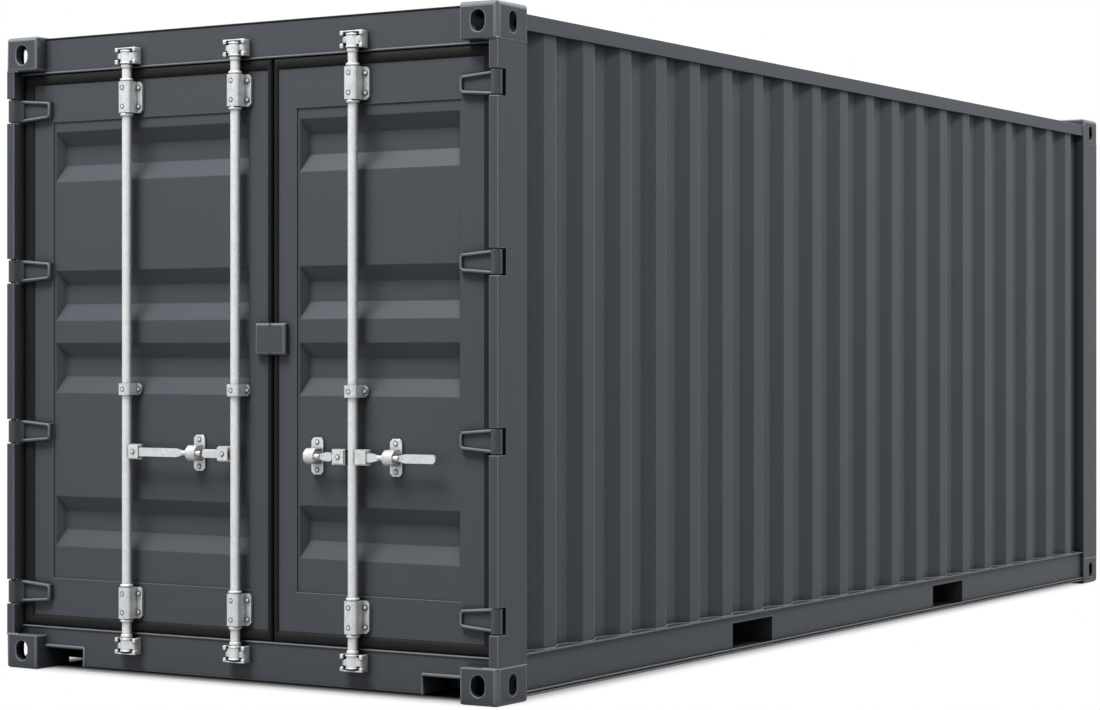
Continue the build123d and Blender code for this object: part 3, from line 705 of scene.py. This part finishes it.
def finish_piece(name, mesh, body, slot, material=None):
    """Turns a built mesh into a piece that rides on a body with a record's finish."""
    data = bpy.data.meshes.new(name)
    mesh.to_mesh(data)
    mesh.free()
    piece = bpy.data.objects.new(name, data)
    bpy.context.scene.collection.objects.link(piece)
    data.materials.append(material or finishes[slot])
    piece.modifiers.new("normals", "WEIGHTED_NORMAL").keep_sharp = True
    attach(piece, body)
    return piece


def turn_to(direction):
    """The turn that takes +Z to a direction."""
    return Vector(direction).to_track_quat("Z", "Y").to_matrix().to_4x4()


def band(mesh, low, high, smooth=False):
    """Faces between two loops of corners."""
    count = len(low)
    for i in range(count):
        j = (i + 1) % count
        mesh.faces.new((low[i], low[j], high[j], high[i])).smooth = smooth


def skin(mesh, rings):
    """Smooth faces between rings of points that each close on themselves."""
    loops = [[mesh.verts.new(point) for point in ring] for ring in rings]
    for low, high in zip(loops, loops[1:]):
        band(mesh, low, high, smooth=True)
    return loops


def angles_round(sides):
    """The angles of a regular form's corners."""
    return [2 * math.pi * i / sides for i in range(sides)]


def lathe(mesh, place, profile, sides):
    """A turned form: (radius, height) points round the +Z axis of a placed frame."""
    angles = angles_round(sides)
    rings = []
    for radius, rise in profile:
        rings.append([place @ Vector((radius * math.cos(a), radius * math.sin(a), rise)) for a in angles])
    return skin(mesh, rings)


def tube(mesh, path, radii, up, sides=bead_sides):
    """A round bead along a path of points, with a radius at each."""
    rings = []
    last = len(path) - 1
    for i, (point, radius) in enumerate(zip(path, radii)):
        run = (path[min(i + 1, last)] - path[max(i - 1, 0)]).normalized()
        side = run.cross(up).normalized()
        rise = side.cross(run)
        angles = angles_round(sides)
        rings.append([point + radius * (math.cos(a) * side + math.sin(a) * rise) for a in angles])
    loops = skin(mesh, rings)
    mesh.faces.new(loops[0])
    mesh.faces.new(loops[-1])


def steps_along(corners, step):
    """Points along a line of corners, about a step apart."""
    points = [corners[0]]
    for start, end in zip(corners, corners[1:]):
        count = max(1, round((end - start).length / step))
        points += [start.lerp(end, i / count) for i in range(1, count + 1)]
    return points


def weld(mesh, corners, up):
    """A rippled weld bead along a line of corners."""
    path = steps_along([Vector(c) for c in corners], weld_ripple / 2)
    radii = [weld_radius * (1 - weld_ripple_share * (i % 2)) for i in range(len(path))]
    tube(mesh, path, radii, Vector(up))


def lip(mesh, corners, up, radius):
    """A smooth folded lip along a line of corners."""
    path = [Vector(c) for c in corners]
    tube(mesh, path, [radius] * len(path), Vector(up), lip_sides)


def block(mesh, low, high, edge):
    """A box between two corners with rounded edges."""
    low, high = Vector(low), Vector(high)
    centre = Matrix.Translation((low + high) / 2) @ Matrix.Diagonal((*(high - low), 1))
    made = bmesh.ops.create_cube(mesh, size=1, matrix=centre)
    edges = {e for v in made["verts"] for e in v.link_edges}
    made = bmesh.ops.bevel(
        mesh, geom=list(edges), offset=edge, segments=fitting_edge_steps, profile=0.5, affect="EDGES",
    )
    for vert in made["verts"]:
        for face in vert.link_faces:
            face.smooth = True


def bolt(mesh, place, direction, height):
    """A washer with a domed six-sided head, of a height in all."""
    seat = Matrix.Translation(place) @ turn_to(direction)
    ring = washer_height_share * height
    washer = [
        (washer_radius, 0), (washer_radius, ring * washer_side_share),
        (washer_radius * washer_top_share, ring), (bolt_radius * head_foot_share, ring),
    ]
    for face in capped_lathe(mesh, seat, washer, washer_sides):
        # the washer takes the dark zinc of the painted shade
        face.material_index = 1
    head = [
        (bolt_radius, ring), (bolt_radius, height * head_side_share), (bolt_radius * head_top_share, height),
    ]
    for face in capped_lathe(mesh, seat, head, head_sides):
        face.smooth = False


def capped_lathe(mesh, place, profile, sides):
    """A turned form with its last ring closed, and the faces that it has."""
    rings = lathe(mesh, place, profile, sides)
    mesh.faces.new(rings[-1])
    return {face for ring in rings for vert in ring for face in vert.link_faces}


def bolts(name, body, places, height=bolt_height):
    """A set of like galvanised bolts that face the front, as one piece, with their washers in dark zinc as
    painted shade.
    """
    mesh = bmesh.new()
    for place in places:
        bolt(mesh, Vector(place), (0, -1, 0), height)
    finish_piece(name, mesh, body, "galvanised_steel").data.materials.append(seat_zinc)


def collar(mesh, place, radius, height):
    """A rounded ring round a bar."""
    half = height / 2
    swell = radius - bar_radius
    profile = []
    for i in range(collar_steps + 1):
        angle = math.pi * (i / collar_steps - 0.5)
        profile.append((bar_radius + swell * math.cos(angle) ** collar_fullness, half * math.sin(angle)))
    lathe(mesh, Matrix.Translation(place), profile, collar_sides)


def bar_brackets(bar):
    """The boxes of the brackets that hold a bar."""
    x = turns[bar].x
    return [box for box in solids(bars[bar][1]) if box[0].x < x < box[1].x]


def bar_fittings():
    """Collars and cam rings on the bars, and bolts on the brackets that hold them."""
    for bar, (door, guides, _) in bars.items():
        axis = turns[bar]
        brackets = bar_brackets(bar)
        tallest = max(high.z - low.z for low, high in brackets)
        rings = bmesh.new()
        heads = []
        covers = []
        for low, high in brackets:
            tall = high.z - low.z > tallest / 2
            if tall:
                reach = collar_height / 2 + collar_gap
                for z in (high.z + reach, low.z - reach):
                    collar(rings, (axis.x, axis.y, z), collar_radius, collar_height)
            flange_x = (high.x + axis.x + collar_radius) / 2
            for share in bracket_bolt_shares if tall else clip_bolt_shares:
                z = low.z + share * (high.z - low.z)
                covers.append((axis.x - cover_bolt_offset, low.y, z))
                heads.append((flange_x, flange_face(guides, low, high), z))
        cam_rings(rings, bar, axis)
        finish_piece(bar + "_collars", rings, bar, "galvanised_steel", bar_zinc)
        bolts(bar + "_bracket_bolts", door, heads)
        bolts(bar + "_cover_bolts", door, covers, cover_bolt_height)


def flange_face(guides, low, high):
    """The front of a bracket's flange: the first level behind its cover at its outer edge."""
    edge = [
        v.co.y for v in nodes[guides].data.vertices
        if abs(v.co.x - high.x) < merge_distance and low.z <= v.co.z <= high.z
    ]
    return min(edge)


def cam_rings(mesh, bar, axis):
    """A neck below each cam and a ring at each of its ends."""
    for keepers, end in (("top_cam_keepers", 1), ("bottom_cam_keepers", -1)):
        low, high = next(box for box in solids(keepers) if box[0].x < axis.x < box[1].x)
        bar_low, bar_high = node_box(bar)
        tip = bar_high.z if end > 0 else bar_low.z
        root = low.z if end > 0 else high.z
        collar(mesh, (axis.x, axis.y, root - end * neck_height / 2), neck_radius, neck_height)
        for z in (tip - end * cam_ring_height / 2, root + end * cam_ring_height / 2):
            collar(mesh, (axis.x, axis.y, z), cam_ring_radius, cam_ring_height)


def keeper_knobs():
    """Rounded knobs at the corners of the cam keepers and a lug inside each arm."""
    for keepers in ("top_cam_keepers", "bottom_cam_keepers"):
        mesh = bmesh.new()
        for box in solids(keepers):
            low, high = box
            for x, side in ((low.x, -1), (high.x, 1)):
                outer = x + side * knob_overhang
                front = low.y - knob_overhang / 2
                for z in (low.z + knob_height / 2, high.z - knob_height / 2):
                    upright(mesh, outer, outer - side * knob_width, front, knob_depth, z, knob_height)
                upright(
                    mesh, x - side * knob_overhang, x - side * (knob_width + lug_reach),
                    low.y + knob_overhang, lug_depth, middle(box).z, lug_height,
                )
        finish_piece(keepers + "_knobs", mesh, "container", "galvanised_steel")


def upright(mesh, x0, x1, front, depth, z, tall):
    """A rounded block between two sides, from its front back, about a height."""
    block(
        mesh, (min(x0, x1), front, z - tall / 2), (max(x0, x1), front + depth, z + tall / 2), knob_overhang,
    )


def handle_fittings():
    """Cap plates on the hubs, a bolt on those that show one, and bolts on the plates behind the handles."""
    stay_hub = Vector((node_box("right_bar_stay")[1].x - hub_size / 2, 0, turns["right_bar"].z))
    hubs = [(handle, handle, turns[handle]) for _, _, handle in bars.values()]
    hubs.append(("right_bar_stay", "right_door", stay_hub))
    for name, body, hub in hubs:
        face = flat_face(name, hub)
        half = cap_size / 2
        cap = bmesh.new()
        block(
            cap, (hub.x - half, face - cap_thickness, hub.z - half), (hub.x + half, face, hub.z + half),
            fitting_edge,
        )
        finish_piece(name + "_cap", cap, body, "galvanised_steel")
        if name != "right_handle":
            bolts(name + "_bolt", body, [(hub.x, face - cap_thickness, hub.z)], cap_bolt_height)
    for plate, door in (
        ("left_handle_retainer", "left_door"), ("right_handle_retainer", "right_door"),
        ("right_bar_stay", "right_door"),
    ):
        low, high = node_box(plate)
        x, y = plate_front(plate, high.z)
        ends = (low.z + plate_bolt_inset, high.z - plate_bolt_inset)
        bolts(plate + "_bolts", door, [(x, y, z) for z in ends], plate_bolt_height)


def flat_face(handle, hub):
    """The front of a handle's flat at its hub."""
    return min(v.co.y for v in nodes[handle].data.vertices if abs(v.co.x - hub.x) < cap_size)


def plate_front(plate, top):
    """The middle of a plate's width at its upper end, and its front there."""
    rim = [v.co for v in nodes[plate].data.vertices if top - v.co.z < merge_distance]
    return (min(p.x for p in rim) + max(p.x for p in rim)) / 2, min(p.y for p in rim)


def wall_foot(wall):
    """The outer line of a wall's foot, from the doors to the closed end."""
    points = [v.co for v in nodes[wall].data.vertices]
    foot = min(p.z for p in points)
    out = 1 if points[0].x > 0 else -1
    line = {}
    for p in points:
        if p.z - foot < merge_distance:
            place = round(p.y, line_decimals)
            line[place] = max(line.get(place, -math.inf), out * p.x)
    return [(out * line[y], y, foot) for y in sorted(line)]


def frame_welds():
    """Weld beads at the feet of the walls and round the ends of the posts, in a lighter paint as a painted
    highlight.
    """
    for side in ("left", "right"):
        mesh = bmesh.new()
        weld(mesh, wall_foot("side_wall_" + side), (0, 0, 1))
        for post in ("door_post_" + side, "blank_post_" + side):
            low, high = node_box(post)
            low += Vector((weld_inset, weld_inset, 0))
            high -= Vector((weld_inset, weld_inset, 0))
            outer, inner = (high.x, low.x) if side == "right" else (low.x, high.x)
            front, back = (low.y, high.y) if "door" in post else (high.y, low.y)
            for z in (low.z, high.z):
                weld(mesh, [(inner, front, z), (outer, front, z), (outer, back, z)], (0, 0, 1))
        finish_piece("welds_" + side, mesh, "container", "container_paint", weld_highlight_paint)


def frame_lips():
    """Folded lips along the header, the sill and the sill's notches, and on the bottom rails, in a lighter
    paint as a painted highlight.
    """
    mesh = bmesh.new()
    low, high = node_box("door_header")
    lip(mesh, [(low.x, low.y, low.z), (high.x, low.y, low.z)], (0, 0, 1), lip_radius)
    low, high = node_box("door_sill")
    lip(mesh, [(low.x, low.y, high.z), (high.x, low.y, high.z)], (0, 0, 1), lip_radius)
    points = [v.co for v in nodes["door_sill"].data.vertices]
    notch_x = max(p.x for p in points if p.z - low.z < merge_distance)
    notch_z = min(p.z for p in points if p.x > notch_x + merge_distance)
    casting_x = max(box[0].x for box in solids("bottom_corner_castings"))
    for side in (-1, 1):
        corners = [(notch_x, low.z), (notch_x, notch_z), (casting_x, notch_z)]
        lip(mesh, [(side * x, low.y, z) for x, z in corners], (0, 1, 0), notch_lip_radius)
    for side in ("left", "right"):
        low, high = node_box("bottom_rail_" + side)
        x = high.x - rail_lip_radius if side == "right" else low.x + rail_lip_radius
        for z in (high.z - rail_lip_radius, *(low.z + rise for rise in rail_foot_lips)):
            lip(mesh, [(x, low.y, z), (x, high.y, z)], (0, 0, 1), rail_lip_radius)
    finish_piece("frame_lips", mesh, "container", "container_paint", edge_highlight_paint)


def hole_rims():
    """A rounded rim in each hole of the corner castings' walls, in a lighter paint as a painted highlight,
    with its lining.
    """
    for name, rise in (("bottom_corner_castings", hole_rise), ("top_corner_castings", -hole_rise)):
        mesh, linings = bmesh.new(), bmesh.new()
        for low, high in solids(name):
            out = Vector([1 if c > 0 else -1 for c in middle((low, high))])
            face = Vector([b if s > 0 else a for a, b, s in zip(low, high, out)])
            z = (low.z if rise > 0 else high.z) + rise
            x, y = face.x - out.x * hole_from_side, face.y - out.y * hole_from_end
            for place, across, inward, width in (
                (Vector((x, face.y, z)), Vector((1, 0, 0)), Vector((0, -out.y, 0)), end_hole_width),
                (Vector((face.x, y, z)), Vector((0, 1, 0)), Vector((-out.x, 0, 0)), side_hole_width),
            ):
                line = hole_line(place + rim_radius * inward, across, width / 2, width)
                tube(mesh, line + line[:1], [rim_radius] * (len(line) + 1), inward)
                sleeve(linings, place, across, inward, width)
        finish_piece(name + "_rims", mesh, "container", "container_paint", edge_highlight_paint)
        finish_piece(name + "_linings", linings, "container", "container_paint")


def hole_line(centre, across, radius, width):
    """The outline of a tall hole with round ends, at a radius about its centre."""
    up = Vector((0, 0, 1))
    reach = (hole_height - width) / 2
    line = [centre + radius * across]
    for end in (1, -1):
        for i in range(rim_steps + 1):
            angle = math.pi * i / rim_steps
            run = end * (math.cos(angle) * across + math.sin(angle) * up)
            line.append(centre + end * reach * up + radius * run)
    return line


def sleeve(mesh, place, across, inward, width):
    """The thick wall round a hole, inside the casting."""
    inner, outer = width / 2, width / 2 + sleeve_wall
    loops = []
    corners = ((inner, rim_radius), (inner, sleeve_depth), (outer, sleeve_depth), (outer, rim_radius))
    for radius, depth in corners:
        line = hole_line(place + depth * inward, across, radius, width)
        loops.append([mesh.verts.new(p) for p in line])
    for a, b in zip(loops, loops[1:] + loops[:1]):
        band(mesh, a, b)


def hinge_ribs():
    """A rounded rib along the edges and round the tip of each hinge blade, in a lighter paint as a painted
    highlight.
    """
    for door, side in (("left_door", -1), ("right_door", 1)):
        mesh = bmesh.new()
        inset = hinge_rib_radius
        points = [v.co for v in nodes[door + "_hinges"].data.vertices]
        for low, high in solids(door + "_hinges"):
            own = [p for p in points if low.z - merge_distance <= p.z <= high.z + merge_distance]
            tip_x = min(p.x * side for p in own)
            tip = [p for p in own if p.x * side - tip_x < merge_distance]
            face = min(p.y for p in tip)
            root_x = max(p.x * side for p in own if abs(p.y - face) < merge_distance)
            top, foot = max(p.z for p in tip) - inset, min(p.z for p in tip) + inset
            corners = [
                (root_x, high.z - inset), (tip_x + inset + tip_round, top + tip_round * tip_slope),
                (tip_x + inset, top - tip_round), (tip_x + inset, foot + tip_round),
                (tip_x + inset + tip_round, foot - tip_round * tip_slope), (root_x, low.z + inset),
            ]
            lip(mesh, [(side * x, face, z) for x, z in corners], (0, 1, 0), hinge_rib_radius)
        finish_piece(door + "_hinge_ribs", mesh, door, "container_paint", edge_highlight_paint)


def gasket_faces():
    """The bulging face of each door's gasket, mitred at its corners."""
    for door in ("left_door", "right_door"):
        low, high = node_box(door + "_gasket")
        inner_low, inner_high = node_box(door + "_frame")
        inner = (inner_low.x, inner_low.z, inner_high.x, inner_high.z)
        outer = (low.x, low.z, high.x, high.z)
        rings = []
        for i in range(gasket_bulge_steps + 1):
            share = i / gasket_bulge_steps
            x0, z0, x1, z1 = [a + share * (b - a) for a, b in zip(inner, outer)]
            y = low.y - gasket_bulge * bulge(share)
            rings.append([Vector(p) for p in ((x0, y, z0), (x1, y, z0), (x1, y, z1), (x0, y, z1))])
        mesh = bmesh.new()
        for edge in range(4):
            strip = [[mesh.verts.new(ring[edge]), mesh.verts.new(ring[(edge + 1) % 4])] for ring in rings]
            for a, b in zip(strip, strip[1:]):
                mesh.faces.new((a[0], a[1], b[1], b[0])).smooth = True
        finish_piece(door + "_gasket_face", mesh, door, "rubber_gasket")


def bulge(share):
    """How far the gasket's face stands out across its width, as a share."""
    return math.sin(math.pi * share) ** gasket_fullness


def header_seal():
    """A dark rubber line along the top of the header, as painted shade."""
    mesh = bmesh.new()
    low, high = node_box("door_header")
    y, z = low.y + shade_line_radius / 2, high.z - shade_line_radius / 2
    lip(mesh, [(low.x, y, z), (high.x, y, z)], (0, 0, 1), shade_line_radius)
    finish_piece("header_seal", mesh, "container", "rubber_gasket")


def plate_seams():
    """Fills the seam of the lock plate to a fine line, half on each door."""
    left_edge = node_box("left_lock_plate")[1].x
    right_edge = node_box("right_lock_plate")[0].x
    seam = (left_edge + right_edge) / 2
    for plate, door, x0, x1 in (
        ("left_lock_plate", "left_door", left_edge, seam - plate_seam / 2),
        ("right_lock_plate", "right_door", right_edge, seam + plate_seam / 2),
    ):
        edge = [v.co for v in nodes[plate].data.vertices if abs(v.co.x - x0) < merge_distance]
        centre = sum(edge, Vector()) / len(edge)
        edge.sort(key=lambda p: math.atan2(p.z - centre.z, p.y - centre.y))
        outline = []
        for p in edge:
            p = p + seam_lift * (p - centre).normalized()
            if not outline or (p - outline[-1]).length > merge_distance:
                outline.append(p)
        start = x0 - math.copysign(seam_overlap, x1 - x0)
        mesh = bmesh.new()
        loops = [[mesh.verts.new((x, p.y, p.z)) for p in outline] for x in (start, x1)]
        band(mesh, *loops)
        mesh.faces.new(loops[1])
        finish_piece(plate + "_seam", mesh, door, "container_paint")


dress_cad_nodes()
bar_fittings()
keeper_knobs()
handle_fittings()
frame_welds()
frame_lips()
hinge_ribs()
hole_rims()
gasket_faces()
header_seal()
plate_seams()


# Camera, light and ground

def make_camera():
    """A level camera where the photograph was taken from."""
    camera = bpy.data.cameras.new("camera")
    camera.sensor_width = sensor_width
    camera.lens = camera_focal_pixels / image_width * sensor_width
    camera.shift_x = -(camera_centre_x - image_width / 2) / image_width
    camera.shift_y = (camera_centre_y - image_height / 2) / image_width
    camera.clip_end = camera_reach
    holder = bpy.data.objects.new("camera", camera)
    holder.location = camera_place
    holder.rotation_euler = (math.pi / 2, 0, camera_yaw)
    bpy.context.scene.collection.objects.link(holder)
    bpy.context.scene.camera = holder


def soft_box(name, place, target, width, height, watts):
    """A large soft lamp that faces a point."""
    lamp = bpy.data.lights.new(name, "AREA")
    lamp.shape = "RECTANGLE"
    lamp.size = width
    lamp.size_y = height
    lamp.energy = watts
    holder = bpy.data.objects.new(name, lamp)
    holder.location = place
    holder.rotation_euler = (Vector(target) - Vector(place)).to_track_quat("-Z", "Y").to_euler()
    bpy.context.scene.collection.objects.link(holder)


def seen_rays(tree):
    """One for rays that show the background: from the camera, or by a reflection or glass."""
    rays = add_node(tree, "ShaderNodeLightPath")
    total = rays.outputs["Is Camera Ray"]
    for name in ("Is Glossy Ray", "Is Transmission Ray"):
        most = add_node(tree, "ShaderNodeMath", operation="MAXIMUM")
        tree.links.new(total, most.inputs[0])
        tree.links.new(rays.outputs[name], most.inputs[1])
        total = most.outputs["Value"]
    return total


def make_sky():
    """White where it is seen, and a plain soft light elsewhere."""
    world = bpy.data.worlds.new("studio")
    bpy.context.scene.world = world
    world.use_nodes = True
    tree = world.node_tree
    sky = tree.nodes["Background"]
    sky.inputs["Color"].default_value = white
    tree.links.new(spread(tree, seen_rays(tree), (sky_strength, 1.0)), sky.inputs["Strength"])


def floor_finish():
    """Pale and matt round the container's foot, further on the left, and white a little way off it."""
    material = bpy.data.materials.new("studio_floor")
    material.use_nodes = True
    tree = material.node_tree
    tree.nodes.clear()
    out = add_node(tree, "ShaderNodeOutputMaterial")
    matt = add_node(tree, "ShaderNodeBsdfDiffuse")
    matt.inputs["Color"].default_value = (floor_tone, floor_tone, floor_tone, 1)
    glow = add_node(tree, "ShaderNodeEmission")
    glow.inputs["Color"].default_value = white
    away = object_coordinates(tree)
    lean = Vector((shadow_lean / 2, 0, 0))
    edge = cad_box[1] - Vector((shadow_inset, shadow_inset, 0)) + lean
    steps = (("ADD", lean), ("ABSOLUTE", None), ("SUBTRACT", edge), ("MAXIMUM", (0, 0, 0)), ("LENGTH", None))
    for step, value in steps:
        reach = add_node(tree, "ShaderNodeVectorMath", operation=step)
        tree.links.new(away, reach.inputs[0])
        if value:
            reach.inputs[1].default_value = value
        away = reach.outputs["Value" if step == "LENGTH" else "Vector"]
    share = add_node(tree, "ShaderNodeMapRange", interpolation_type="SMOOTHSTEP")
    set_inputs(share, From_Max=shadow_reach)
    tree.links.new(away, share.inputs["Value"])
    seen = add_node(tree, "ShaderNodeMath", operation="MULTIPLY")
    tree.links.new(share.outputs["Result"], seen.inputs[0])
    tree.links.new(seen_rays(tree), seen.inputs[1])
    mix = add_node(tree, "ShaderNodeMixShader")
    tree.links.new(seen.outputs["Value"], mix.inputs["Fac"])
    tree.links.new(matt.outputs["BSDF"], mix.inputs[1])
    tree.links.new(glow.outputs["Emission"], mix.inputs[2])
    tree.links.new(mix.outputs["Shader"], out.inputs["Surface"])
    return material


def make_floor():
    """A wide floor that keeps the container's shadow."""
    mesh = bmesh.new()
    bmesh.ops.create_grid(mesh, x_segments=1, y_segments=1, size=floor_size / 2)
    data = bpy.data.meshes.new("floor")
    mesh.to_mesh(data)
    mesh.free()
    data.materials.append(floor_finish())
    floor = bpy.data.objects.new("floor", data)
    floor.location.z = cad_box[0].z - floor_drop
    bpy.context.scene.collection.objects.link(floor)


make_camera()
make_sky()
make_floor()
for name, values in lamps.items():
    soft_box(name, **values)
bpy.context.scene.view_settings.view_transform = "Standard"
